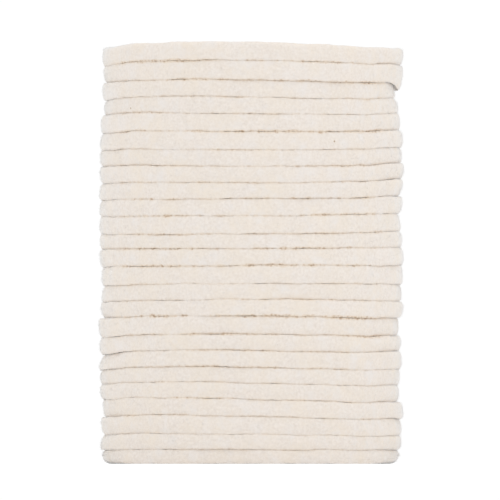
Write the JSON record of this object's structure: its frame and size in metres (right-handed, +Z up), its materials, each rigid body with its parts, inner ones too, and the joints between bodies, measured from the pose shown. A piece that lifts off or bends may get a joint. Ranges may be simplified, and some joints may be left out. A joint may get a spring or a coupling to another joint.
{
  "type": "felt polishing wheel",
  "caption": "Free-standing pile of loose round felt polishing discs in natural off-white wool, their arbor holes in line.",
  "frame": {"origin": "where the arbor line meets the face that the lowest disc rests on", "axes": "+Z up along the arbor line, through the holes of all the discs; +X to the right and +Y to the back as the pile is seen from the front"},
  "size_m": [0.116, 0.1164, 0.1601],
  "materials": {
    "natural_wool_felt": "matte"
  },
  "bodies": {
    "disc_01": {"felt_disc_01": "natural_wool_felt"},
    "disc_02": {"felt_disc_02": "natural_wool_felt"},
    "disc_03": {"felt_disc_03": "natural_wool_felt"},
    "disc_04": {"felt_disc_04": "natural_wool_felt"},
    "disc_05": {"felt_disc_05": "natural_wool_felt"},
    "disc_06": {"felt_disc_06": "natural_wool_felt"},
    "disc_07": {"felt_disc_07": "natural_wool_felt"},
    "disc_08": {"felt_disc_08": "natural_wool_felt"},
    "disc_09": {"felt_disc_09": "natural_wool_felt"},
    "disc_10": {"felt_disc_10": "natural_wool_felt"},
    "disc_11": {"felt_disc_11": "natural_wool_felt"},
    "disc_12": {"felt_disc_12": "natural_wool_felt"},
    "disc_13": {"felt_disc_13": "natural_wool_felt"},
    "disc_14": {"felt_disc_14": "natural_wool_felt"},
    "disc_15": {"felt_disc_15": "natural_wool_felt"},
    "disc_16": {"felt_disc_16": "natural_wool_felt"},
    "disc_17": {"felt_disc_17": "natural_wool_felt"},
    "disc_18": {"felt_disc_18": "natural_wool_felt"},
    "disc_19": {"felt_disc_19": "natural_wool_felt"},
    "disc_20": {"felt_disc_20": "natural_wool_felt"},
    "disc_21": {"felt_disc_21": "natural_wool_felt"},
    "disc_22": {"felt_disc_22": "natural_wool_felt"},
    "disc_23": {"felt_disc_23": "natural_wool_felt"},
    "disc_24": {"felt_disc_24": "natural_wool_felt"},
    "disc_25": {"felt_disc_25": "natural_wool_felt"}
  },
  "joints": [
    {"name": "disc_02_lift", "type": "slide", "parent": "disc_01", "child": "disc_02", "axis": [0, 0, 1], "range_m": [0, 0.025]},
    {"name": "disc_03_lift", "type": "slide", "parent": "disc_02", "child": "disc_03", "axis": [0, 0, 1], "range_m": [0, 0.025]},
    {"name": "disc_04_lift", "type": "slide", "parent": "disc_03", "child": "disc_04", "axis": [0, 0, 1], "range_m": [0, 0.025]},
    {"name": "disc_05_lift", "type": "slide", "parent": "disc_04", "child": "disc_05", "axis": [0, 0, 1], "range_m": [0, 0.025]},
    {"name": "disc_06_lift", "type": "slide", "parent": "disc_05", "child": "disc_06", "axis": [0, 0, 1], "range_m": [0, 0.025]},
    {"name": "disc_07_lift", "type": "slide", "parent": "disc_06", "child": "disc_07", "axis": [0, 0, 1], "range_m": [0, 0.025]},
    {"name": "disc_08_lift", "type": "slide", "parent": "disc_07", "child": "disc_08", "axis": [0, 0, 1], "range_m": [0, 0.025]},
    {"name": "disc_09_lift", "type": "slide", "parent": "disc_08", "child": "disc_09", "axis": [0, 0, 1], "range_m": [0, 0.025]},
    {"name": "disc_10_lift", "type": "slide", "parent": "disc_09", "child": "disc_10", "axis": [0, 0, 1], "range_m": [0, 0.025]},
    {"name": "disc_11_lift", "type": "slide", "parent": "disc_10", "child": "disc_11", "axis": [0, 0, 1], "range_m": [0, 0.025]},
    {"name": "disc_12_lift", "type": "slide", "parent": "disc_11", "child": "disc_12", "axis": [0, 0, 1], "range_m": [0, 0.025]},
    {"name": "disc_13_lift", "type": "slide", "parent": "disc_12", "child": "disc_13", "axis": [0, 0, 1], "range_m": [0, 0.025]},
    {"name": "disc_14_lift", "type": "slide", "parent": "disc_13", "child": "disc_14", "axis": [0, 0, 1], "range_m": [0, 0.025]},
    {"name": "disc_15_lift", "type": "slide", "parent": "disc_14", "child": "disc_15", "axis": [0, 0, 1], "range_m": [0, 0.025]},
    {"name": "disc_16_lift", "type": "slide", "parent": "disc_15", "child": "disc_16", "axis": [0, 0, 1], "range_m": [0, 0.025]},
    {"name": "disc_17_lift", "type": "slide", "parent": "disc_16", "child": "disc_17", "axis": [0, 0, 1], "range_m": [0, 0.025]},
    {"name": "disc_18_lift", "type": "slide", "parent": "disc_17", "child": "disc_18", "axis": [0, 0, 1], "range_m": [0, 0.025]},
    {"name": "disc_19_lift", "type": "slide", "parent": "disc_18", "child": "disc_19", "axis": [0, 0, 1], "range_m": [0, 0.025]},
    {"name": "disc_20_lift", "type": "slide", "parent": "disc_19", "child": "disc_20", "axis": [0, 0, 1], "range_m": [0, 0.025]},
    {"name": "disc_21_lift", "type": "slide", "parent": "disc_20", "child": "disc_21", "axis": [0, 0, 1], "range_m": [0, 0.025]},
    {"name": "disc_22_lift", "type": "slide", "parent": "disc_21", "child": "disc_22", "axis": [0, 0, 1], "range_m": [0, 0.025]},
    {"name": "disc_23_lift", "type": "slide", "parent": "disc_22", "child": "disc_23", "axis": [0, 0, 1], "range_m": [0, 0.025]},
    {"name": "disc_24_lift", "type": "slide", "parent": "disc_23", "child": "disc_24", "axis": [0, 0, 1], "range_m": [0, 0.025]},
    {"name": "disc_25_lift", "type": "slide", "parent": "disc_24", "child": "disc_25", "axis": [0, 0, 1], "range_m": [0, 0.025]}
  ]
}
